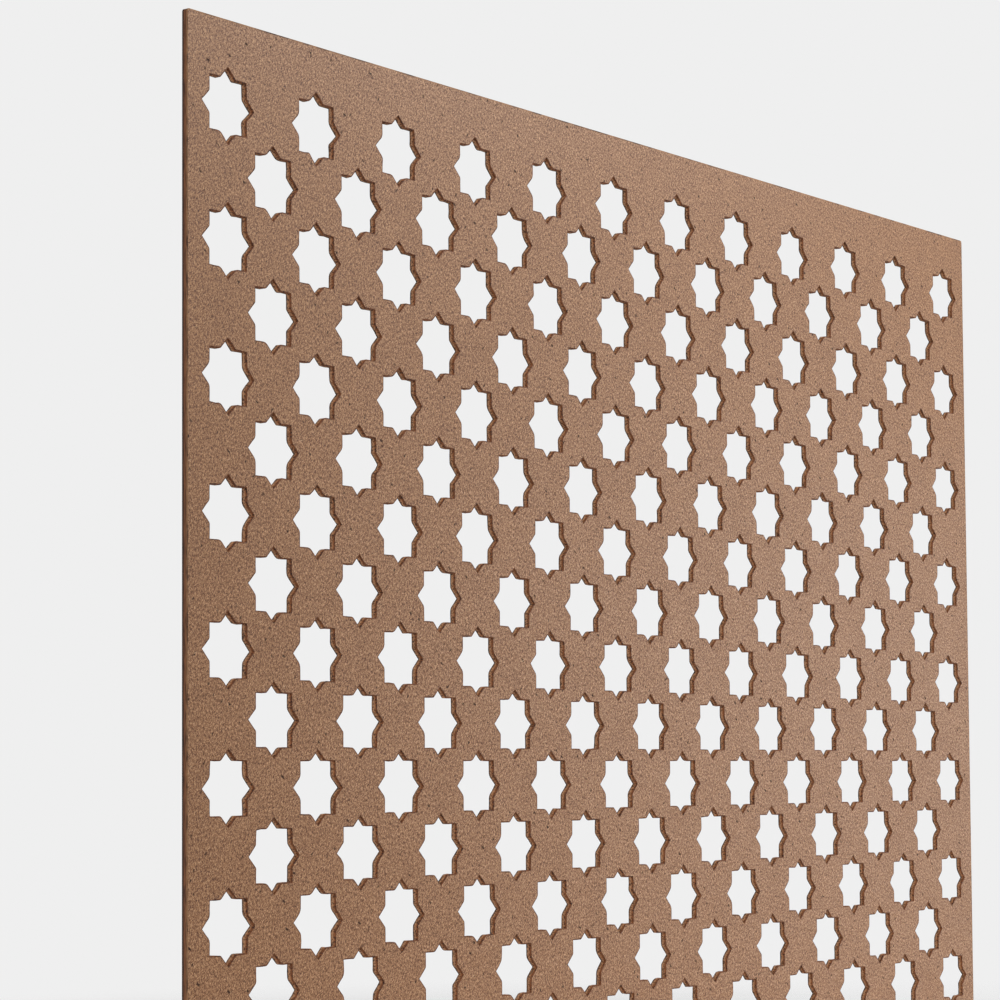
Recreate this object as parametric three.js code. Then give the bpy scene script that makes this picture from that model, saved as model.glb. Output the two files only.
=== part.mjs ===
// Pierced screen panel: one thin sheet of hardboard with a lattice of eight-pointed star openings.
// X runs across the panel, Y goes through it from the front to the back, and Z rises from its
// bottom edge. The origin is in the middle of that edge.

import * as THREE from 'three';

// The sheet, in millimetres
const panelWidth = 600;
const boardThickness = 2.5;

// The lattice: rows a full pitch apart, with a row moved half a pitch across between each two
const starPitch = 50.5;
const starsInWideRow = 12;
const wideRows = 8;
const endMargin = 32.3; // from the top and bottom edges to the centres of the nearest stars

// One opening: two equal squares on one centre, one of them turned by an eighth of a turn
const starSquareSide = 20;
const starTips = 8;

const starRows = 2 * wideRows - 1;
const rowSpacing = starPitch / 2;
const panelHeight = 2 * endMargin + (starRows - 1) * rowSpacing;
const tipRadius = starSquareSide / Math.SQRT2;
const notchRadius = starSquareSide / 2 / Math.cos(Math.PI / starTips);

function sheetOutline() {
  const halfWidth = panelWidth / 2;
  return new THREE.Shape([
    new THREE.Vector2(-halfWidth, 0),
    new THREE.Vector2(halfWidth, 0),
    new THREE.Vector2(halfWidth, panelHeight),
    new THREE.Vector2(-halfWidth, panelHeight),
  ]);
}

// Tips and notches take turns around the centre, beginning with the tip that points along +X
function starOpening(centreX, centreZ) {
  const corners = [];
  for (let corner = 0; corner < 2 * starTips; corner += 1) {
    const radius = corner % 2 === 0 ? tipRadius : notchRadius;
    const angle = (corner * Math.PI) / starTips;
    corners.push(
      new THREE.Vector2(centreX + radius * Math.cos(angle), centreZ + radius * Math.sin(angle)),
    );
  }
  return new THREE.Path(corners);
}

// Every row is centred on the sheet, and each second row has one star less
function starLattice() {
  const openings = [];
  for (let row = 0; row < starRows; row += 1) {
    const stars = starsInWideRow - (row % 2);
    const centreZ = endMargin + row * rowSpacing;
    for (let star = 0; star < stars; star += 1) {
      const centreX = (star - (stars - 1) / 2) * starPitch;
      openings.push(starOpening(centreX, centreZ));
    }
  }
  return openings;
}

function screenPanel() {
  const sheet = sheetOutline();
  sheet.holes = starLattice();
  const geometry = new THREE.ExtrudeGeometry(sheet, { depth: boardThickness, bevelEnabled: false });
  const hardboard = new THREE.MeshStandardMaterial({ color: '#97755b', roughness: 0.75, metalness: 0 });
  const panel = new THREE.Mesh(geometry, hardboard);
  panel.name = 'screen_panel';
  // The sheet is drawn lying down: this stands it up, with its middle plane on Y = 0
  panel.rotation.x = Math.PI / 2;
  panel.position.y = boardThickness / 2;
  return panel;
}

const screen = new THREE.Group();
screen.add(screenPanel());

export default screen;
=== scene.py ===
import bmesh
import bpy
import math
import random
from mathutils import Matrix, Vector


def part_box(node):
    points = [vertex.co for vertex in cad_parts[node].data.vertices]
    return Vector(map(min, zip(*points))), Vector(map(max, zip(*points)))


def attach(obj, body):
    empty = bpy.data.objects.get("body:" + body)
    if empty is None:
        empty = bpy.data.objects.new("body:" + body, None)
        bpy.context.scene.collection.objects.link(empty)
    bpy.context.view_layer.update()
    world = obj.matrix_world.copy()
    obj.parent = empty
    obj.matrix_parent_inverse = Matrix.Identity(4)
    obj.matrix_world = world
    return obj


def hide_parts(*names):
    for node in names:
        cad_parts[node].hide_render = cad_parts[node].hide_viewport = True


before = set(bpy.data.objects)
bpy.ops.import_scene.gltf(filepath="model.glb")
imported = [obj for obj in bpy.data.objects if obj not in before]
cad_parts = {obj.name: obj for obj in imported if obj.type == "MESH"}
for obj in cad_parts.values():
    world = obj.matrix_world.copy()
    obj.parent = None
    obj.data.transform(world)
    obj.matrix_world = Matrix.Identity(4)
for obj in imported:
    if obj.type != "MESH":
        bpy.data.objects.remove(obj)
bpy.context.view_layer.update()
mm = 0.001


def hexToLinear(code):
    channels = [int(code[i:i + 2], 16) / 255 for i in (1, 3, 5)]
    linear = [c / 12.92 if c <= 0.04045 else ((c + 0.055) / 1.055) ** 2.4 for c in channels]
    return (*linear, 1.0)


def addNode(tree, kind, inputs, stops=(), **settings):
    node = tree.nodes.new("ShaderNode" + kind)
    for name, value in settings.items():
        setattr(node, name, value)
    for socket, value in inputs.items():
        if isinstance(value, bpy.types.NodeSocket):
            tree.links.new(value, node.inputs[socket])
        else:
            node.inputs[socket].default_value = value
    for i, (place, code) in enumerate(stops):  # only a colour ramp has stops
        if i > 1:
            node.color_ramp.elements.new(place)
        node.color_ramp.elements[i].position = place
        node.color_ramp.elements[i].color = hexToLinear(code)
    return node


def newMaterial(name):
    material = bpy.data.materials.new(name)
    material.use_nodes = True
    material.node_tree.nodes.clear()
    return material


# Faces of the hardboard: hot-pressed wood fibre, so a smooth brown skin with a dull sheen, grained all
# over with short light and dark fibres, with a few dark slivers of bark and pale single fibres
faceFinish = {
    # width, length, turn and share of each layer of grain; coarser than single fibres, so that it shows
    "grain": [
        (0.42 * mm, 1.3 * mm, 0.25, 0.6),
        (0.42 * mm, 1.3 * mm, 1.1, 0.6),
        (0.42 * mm, 1.3 * mm, 2.6, 0.6),
        (0.31 * mm, 0.31 * mm, 0.0, 0.66),
        (1.2 * mm, 1.2 * mm, 0.0, 0.14),
        (3.5 * mm, 3.5 * mm, 0.0, 0.08),
        (16 * mm, 16 * mm, 0.0, 0.05),
    ],
    "tones": [(0.2, "#3f1805"), (0.35, "#6a3913"), (0.5, "#9e6b3f"),
              (0.65, "#c49265"), (0.8, "#e0b385")],
    # spacing, radius, stretch, turn and colour of each kind of fleck
    "flecks": [
        (4.8 * mm, 0.5 * mm, 2.2, 0.6, "#371808"),
        (6.5 * mm, 0.7 * mm, 1.8, 2.1, "#371808"),
        (4 * mm, 0.24 * mm, 5.0, 1.2, "#d2ab86"),
    ],
    "fleckFade": (1.5, 0.9),  # in radii, from the first trace of a fleck to its full colour
    "fleckRoughness": 0.9,
    "sheen": (0.62, 0.38),  # roughness from the dark pores to the pale pressed fibres
    "sheenTones": (0.3, 0.6),
    "relief": 0.03 * mm,
    "reliefStrength": 0.5,
    "index": 1.5,
}


def hardboardFace():
    f = faceFinish
    material = newMaterial("smooth hardboard face")
    tree = material.node_tree
    place = addNode(tree, "TexCoord", {}).outputs["Object"]
    tone = 0.5 - 0.5 * sum(layer[3] for layer in f["grain"])
    for width, length, turn, share in f["grain"]:
        laid = addNode(tree, "Mapping", {"Vector": place, "Rotation": (0, turn, 0),
                                         "Scale": (1, 1, length / width)}, vector_type="TEXTURE")
        fibres = addNode(tree, "TexNoise", {"Vector": laid.outputs[0], "Scale": 1 / width,
                                            "Detail": 1.0})
        tone = addNode(tree, "Math", {0: fibres.outputs[0], 1: share, 2: tone},
                       operation="MULTIPLY_ADD").outputs[0]
    colour = addNode(tree, "ValToRGB", {"Fac": tone}, stops=f["tones"]).outputs[0]
    darkTone, paleTone = f["sheenTones"]
    darkRough, paleRough = f["sheen"]
    rough = addNode(tree, "MapRange", {"Value": tone, "From Min": darkTone, "From Max": paleTone,
                                       "To Min": darkRough, "To Max": paleRough}).outputs[0]
    firstTrace, fullColour = f["fleckFade"]
    for spacing, radius, stretch, turn, code in f["flecks"]:
        laid = addNode(tree, "Mapping", {"Vector": place, "Rotation": (0, turn, 0),
                                         "Scale": (1, 1, stretch)}, vector_type="TEXTURE")
        cells = addNode(tree, "TexVoronoi", {"Vector": laid.outputs[0], "Scale": 1 / spacing})
        edge = radius / spacing
        ragged = addNode(tree, "Math", {0: tone, 1: edge, 2: cells.outputs["Distance"]},
                         operation="MULTIPLY_ADD")
        inFleck = addNode(tree, "MapRange", {"Value": ragged.outputs[0], "From Min": edge * firstTrace,
                                             "From Max": edge * fullColour}).outputs[0]
        colour = addNode(tree, "Mix", {0: inFleck, 6: colour, 7: hexToLinear(code)},
                         data_type="RGBA").outputs[2]
        rough = addNode(tree, "Mix", {0: inFleck, 2: rough, 3: f["fleckRoughness"]}).outputs[0]
    bump = addNode(tree, "Bump", {"Height": tone, "Distance": f["relief"],
                                  "Strength": f["reliefStrength"]})
    skin = addNode(tree, "BsdfPrincipled", {"Base Color": colour, "Normal": bump.outputs[0],
                                            "Roughness": rough, "IOR": f["index"]})
    addNode(tree, "OutputMaterial", {"Surface": skin.outputs[0]})
    return material


# Cut edges of the hardboard: torn fibre ends, so matt and redder than the faces; the bands run from the
# front to the back, on punched cuts darker at both faces and paler between, on the sawn edge with a
# painted highlight at the front
punchedFinish = {
    "bands": [(0.0, "#7a441f"), (0.15, "#8c5229"), (0.3, "#a86c42"), (0.45, "#bb875f"),
              (0.62, "#be8e69"), (0.78, "#a0734f"), (0.88, "#4f2f1e"), (1.0, "#2a1409")],
    "wander": 1.2 * mm,
    "wanderShare": 0.5,
    "blotch": (0.7 * mm, 0.7 * mm, 0.7 * mm),
    "blotchTones": [(0.36, "#6e5c50"), (0.55, "#ffffff")],
}
sawnFinish = {
    # the pale band at the front of the sawn edge is a painted highlight along its front arris
    "bands": [(0.0, "#ab8059"), (0.14, "#8d5c38"), (0.5, "#8a5431"), (0.68, "#5a341d"),
              (1.0, "#23120a")],
    "wander": 0.8 * mm,
    "wanderShare": 0.25,
    "blotch": (7 * mm, 0.35 * mm, 7 * mm),  # streaks along the saw's way
    "blotchTones": [(0.36, "#7d6a5c"), (0.55, "#ffffff")],
}
tornFibre = {"roughness": 0.85, "relief": 0.2 * mm, "reliefStrength": 0.6, "index": 1.5}


def hardboardCut(name, f):
    low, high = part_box("screen_panel")
    material = newMaterial(name)
    tree = material.node_tree
    place = addNode(tree, "TexCoord", {}).outputs["Object"]
    through = addNode(tree, "SeparateXYZ", {"Vector": place}).outputs["Y"]
    shift = f["wanderShare"] / 2
    depth = addNode(tree, "MapRange", {"Value": through, "From Min": low.y, "From Max": high.y,
                                       "To Min": -shift, "To Max": 1 - shift}, clamp=False)
    drift = addNode(tree, "TexNoise", {"Vector": place, "Scale": 1 / f["wander"], "Detail": 2.0})
    wandered = addNode(tree, "Math", {0: drift.outputs[0], 1: f["wanderShare"], 2: depth.outputs[0]},
                       operation="MULTIPLY_ADD")
    bands = addNode(tree, "ValToRGB", {"Fac": wandered.outputs[0]}, stops=f["bands"])
    laid = addNode(tree, "Mapping", {"Vector": place, "Scale": f["blotch"]}, vector_type="TEXTURE")
    blotches = addNode(tree, "TexNoise", {"Vector": laid.outputs[0], "Scale": 1.0, "Detail": 3.0})
    mottle = addNode(tree, "ValToRGB", {"Fac": blotches.outputs[0]}, stops=f["blotchTones"])
    colour = addNode(tree, "Mix", {0: 1.0, 6: bands.outputs[0], 7: mottle.outputs[0]},
                     data_type="RGBA", blend_type="MULTIPLY")
    bump = addNode(tree, "Bump", {"Height": blotches.outputs[0], "Distance": tornFibre["relief"],
                                  "Strength": tornFibre["reliefStrength"]})
    ends = addNode(tree, "BsdfPrincipled", {"Base Color": colour.outputs[2], "Normal": bump.outputs[0],
                                            "Roughness": tornFibre["roughness"],
                                            "IOR": tornFibre["index"]})
    addNode(tree, "OutputMaterial", {"Surface": ends.outputs[0]})
    return material


# The board: tiled from diamonds, each with a star cut in it or whole, then trimmed to the sheet
board = {
    "pitch": 50.5 * mm,  # star to star along a row
    "starsInWideRow": 12,
    "wideRows": 8,
    "squareSide": 20 * mm,  # two of these, one turned by an eighth, make a star
    "starTips": 8,
    "sideCuts": 1,  # extra points along each side of a star, for its unevenness
    "unevenness": 0.07 * mm,
    "breakOut": 0.12 * mm,  # the back of a cut is rougher than its front
    "chipShare": 0.03,
    "chipDepth": 0.35 * mm,
    "chanceSeed": 8,
    "pointTurn": 0.5,  # radians; the board's outward points between the tips turn by more than this
    "pointWear": (0.4 * mm, 0.7 * mm, 1.1 * mm),
    "rim": 0.5 * mm,  # narrow band around each cut, coloured like the cut
    "rimFall": 0.1 * mm,
    "flatness": 0.95,  # how squarely a flat face looks forward or back
    "outerStrip": 1 * mm,  # nothing this close to the sheet's outline belongs to a star
    "weld": 0.01 * mm,
    "trim": 0.001 * mm,
}


def onlyVerts(geometry):
    return [item for item in geometry if isinstance(item, bmesh.types.BMVert)]


def diamondTile(pierced):
    tips = board["starTips"]
    upright = Matrix.Rotation(math.pi / 2, 4, "X")
    bm = bmesh.new()
    bmesh.ops.create_circle(bm, cap_ends=not pierced, segments=4, radius=board["pitch"] / 2,
                            matrix=upright)
    bmesh.ops.subdivide_edges(bm, edges=bm.edges[:], cuts=2 * tips // 4 - 1, use_grid_fill=True)
    if pierced:
        rimEdges = bm.edges[:]
        tipRadius = board["squareSide"] / math.sqrt(2)
        notchRadius = board["squareSide"] / 2 / math.cos(math.pi / tips)
        star = bmesh.ops.create_circle(bm, segments=2 * tips, radius=tipRadius, matrix=upright)["verts"]
        inward = notchRadius / tipRadius
        bmesh.ops.scale(bm, verts=star[1::2], vec=(inward, 1, inward))
        starEdges = [edge for edge in bm.edges if edge not in rimEdges]
        bmesh.ops.bridge_loops(bm, edges=rimEdges + starEdges)
        bmesh.ops.subdivide_edges(bm, edges=starEdges, cuts=board["sideCuts"])
    tile = bpy.data.meshes.new("tile")
    bm.to_mesh(tile)
    bm.free()
    return tile


def tiledSheet(low, high):
    pitch = board["pitch"]
    columns = 2 * board["starsInWideRow"] - 1
    rows = 2 * board["wideRows"] - 1
    left = -(columns - 1) / 2 * pitch / 2
    bottom = (low.z + high.z) / 2 - (rows - 1) / 2 * pitch / 2
    starTile = diamondTile(True)
    wholeTile = diamondTile(False)
    bm = bmesh.new()
    for row in range(-2, rows + 2):  # whole diamonds fill the margins
        for column in range(-1, columns + 1):
            if (row + column) % 2:
                continue
            pierced = 0 <= row < rows and 0 <= column < columns
            tile = (starTile if pierced else wholeTile).copy()
            centre = (left + column * pitch / 2, low.y, bottom + row * pitch / 2)
            tile.transform(Matrix.Translation(centre))
            bm.from_mesh(tile)
            bpy.data.meshes.remove(tile)
    bmesh.ops.remove_doubles(bm, verts=bm.verts, dist=board["weld"])
    outline = ((low, (-1, 0, 0)), (low, (0, 0, -1)), (high, (1, 0, 0)), (high, (0, 0, 1)))
    for corner, outward in outline:
        bmesh.ops.bisect_plane(bm, geom=bm.verts[:] + bm.edges[:] + bm.faces[:], dist=board["trim"],
                               plane_co=corner, plane_no=outward, clear_outer=True)
    bpy.data.meshes.remove(starTile)
    bpy.data.meshes.remove(wholeTile)
    print("sheet tiled:", len(bm.faces), "faces")
    return bm


def insideOutline(co, low, high):
    nearest = min(co.x - low.x, high.x - co.x, co.z - low.z, high.z - co.z)
    return nearest > board["outerStrip"]


def roughen(verts, amount, draw):
    for vert in sorted(verts, key=lambda v: (round(v.co.z, 5), round(v.co.x, 5))):
        reach = board["chipDepth"] if draw.random() < board["chipShare"] else amount
        vert.co.x += draw.uniform(-reach, reach)
        vert.co.z += draw.uniform(-reach, reach)


def screenPanel():
    low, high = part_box("screen_panel")
    draw = random.Random(board["chanceSeed"])
    bm = tiledSheet(low, high)
    starVerts = [vert for vert in bm.verts if vert.is_boundary and insideOutline(vert.co, low, high)]
    roughen(starVerts, board["unevenness"], draw)
    wallDepth = high.y - low.y - 2 * board["rimFall"]
    bmesh.ops.translate(bm, verts=bm.verts, vec=(0, board["rimFall"], 0))
    thick = bmesh.ops.extrude_face_region(bm, geom=bm.faces[:], use_keep_orig=True)["geom"]
    bmesh.ops.translate(bm, verts=onlyVerts(thick), vec=(0, wallDepth, 0))
    bmesh.ops.recalc_face_normals(bm, faces=bm.faces)
    through = [edge for edge in bm.edges
               if abs((edge.verts[0].co - edge.verts[1].co).y) > wallDepth / 2]
    backStars = [vert for edge in through for vert in edge.verts
                 if vert.co.y > 0 and insideOutline(vert.co, low, high)]
    roughen(backStars, board["breakOut"], draw)

    # the points between the tips, worn back by differing amounts
    points = [edge for edge in through if edge.calc_face_angle_signed(0) > board["pointTurn"]]
    points.sort(key=lambda edge: (round(edge.verts[0].co.z, 4), round(edge.verts[0].co.x, 4)))
    wear = {edge: draw.choice(board["pointWear"]) for edge in points}
    for amount in board["pointWear"]:
        worn = [edge for edge in points if wear[edge] == amount]
        bmesh.ops.bevel(bm, geom=worn, offset=amount, segments=2, profile=0.5, affect="EDGES",
                        material=-1)

    # the flat faces stand out from the cuts by a narrow slanting rim
    bm.normal_update()
    flat = [face for face in bm.faces if abs(face.normal.y) > board["flatness"]]
    cut = [face for face in bm.faces if abs(face.normal.y) <= board["flatness"]]
    rim = bmesh.ops.inset_region(bm, faces=flat, thickness=board["rim"], depth=board["rimFall"],
                                 use_boundary=True)["faces"]
    for face in cut + rim:
        face.material_index = 1 if insideOutline(face.calc_center_median(), low, high) else 2
    mesh = bpy.data.meshes.new("screenPanel")
    bm.to_mesh(mesh)
    bm.free()
    mesh.materials.append(hardboardFace())
    mesh.materials.append(hardboardCut("punched hardboard", punchedFinish))
    mesh.materials.append(hardboardCut("sawn hardboard edge", sawnFinish))
    piece = bpy.data.objects.new("pierced_board", mesh)
    bpy.context.scene.collection.objects.link(piece)
    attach(piece, "root")
    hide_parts("screen_panel")
    print("screen panel:", len(mesh.polygons), "faces")


screenPanel()


# Studio: pale floor that fades out into a pale surround, and soft lights
studio = {
    "paper": "#efefef",
    "paperRoughness": 0.9,
    "surroundLight": 0.15,
    "floorReach": 0.7,
    "floorSides": 96,
    "fadeStart": 0.3,  # share of the floor's reach
    "aim": (0, 0, 0.2),
    # place, width and watts of each light
    "key": ((1.6, -0.9, 1.6), 1.2, 32.5),
    "lowSide": ((1.8, -1.0, 0.15), 0.8, 5.2),
    "nearSide": ((0.55, -0.45, 0.4), 0.5, 0.5),
    "overhead": ((-0.1, -0.5, 1.1), 0.6, 4.2),
    "rear": ((-1.5, 1.0, 0.4), 1.0, 16),  # for the cut edges and the back
}


def paleSurround():
    world = bpy.data.worlds.new("pale surround")
    bpy.context.scene.world = world
    world.use_nodes = True
    tree = world.node_tree
    tree.nodes.clear()
    paper = hexToLinear(studio["paper"])
    seen = addNode(tree, "Background", {"Color": paper, "Strength": 1.0})
    fill = addNode(tree, "Background", {"Color": paper, "Strength": studio["surroundLight"]})
    ray = addNode(tree, "LightPath", {})
    both = addNode(tree, "MixShader", {0: ray.outputs["Is Camera Ray"], 1: fill.outputs[0],
                                       2: seen.outputs[0]})
    addNode(tree, "OutputWorld", {"Surface": both.outputs[0]})


def paleFloor():
    bm = bmesh.new()
    bmesh.ops.create_circle(bm, cap_ends=True, segments=studio["floorSides"],
                            radius=studio["floorReach"])
    mesh = bpy.data.meshes.new("paleFloor")
    bm.to_mesh(mesh)
    bm.free()
    material = newMaterial("pale paper floor")
    tree = material.node_tree
    place = addNode(tree, "TexCoord", {}).outputs["Object"]
    reach = addNode(tree, "VectorMath", {0: place}, operation="LENGTH").outputs["Value"]
    fade = addNode(tree, "MapRange", {"Value": reach,
                                      "From Min": studio["floorReach"] * studio["fadeStart"],
                                      "From Max": studio["floorReach"]},
                   interpolation_type="SMOOTHSTEP")
    paper = addNode(tree, "BsdfPrincipled", {"Base Color": hexToLinear(studio["paper"]),
                                             "Roughness": studio["paperRoughness"]})
    clear = addNode(tree, "BsdfTransparent", {})
    mixed = addNode(tree, "MixShader", {0: fade.outputs[0], 1: paper.outputs[0], 2: clear.outputs[0]})
    addNode(tree, "OutputMaterial", {"Surface": mixed.outputs[0]})
    mesh.materials.append(material)
    floor = bpy.data.objects.new("floor", mesh)
    bpy.context.scene.collection.objects.link(floor)


def softLight(name, place, width, power):
    light = bpy.data.lights.new(name, "AREA")
    light.shape = "DISK"
    light.size = width
    light.energy = power
    lamp = bpy.data.objects.new(name, light)
    lamp.location = place
    lamp.rotation_euler = (Vector(studio["aim"]) - Vector(place)).to_track_quat("-Z", "Y").to_euler()
    lamp.visible_camera = False
    bpy.context.scene.collection.objects.link(lamp)


paleSurround()
paleFloor()
for lightName in ("key", "lowSide", "nearSide", "overhead", "rear"):
    softLight(lightName, *studio[lightName])
print("studio lit")


# Camera: worked out from the places of the stars and the panel's edges in the photograph
viewpoint = {
    "place": Vector((-1076.5, -720.6, 138.0)) * mm,
    "turn": math.radians(53.312),  # from straight on, to the right
    "tilt": math.radians(3.45),
    "roll": math.radians(-0.361),
    "lens": 105.24,
    "sensor": 36.0,
    "rise": 0.0977,  # the frame sits above the lens's axis
    "nearest": 0.05,
}


def photoCamera():
    v = viewpoint
    data = bpy.data.cameras.new("camera")
    data.lens = v["lens"]
    data.sensor_width = v["sensor"]
    data.shift_y = v["rise"]
    data.clip_start = v["nearest"]
    camera = bpy.data.objects.new("camera", data)
    aimed = Matrix.Rotation(-v["turn"], 4, "Z") @ Matrix.Rotation(math.pi / 2 + v["tilt"], 4, "X")
    camera.matrix_world = Matrix.Translation(v["place"]) @ aimed @ Matrix.Rotation(v["roll"], 4, "Z")
    bpy.context.scene.collection.objects.link(camera)
    bpy.context.scene.camera = camera
    print("camera placed")


photoCamera()
bpy.context.scene.view_settings.view_transform = "Standard"
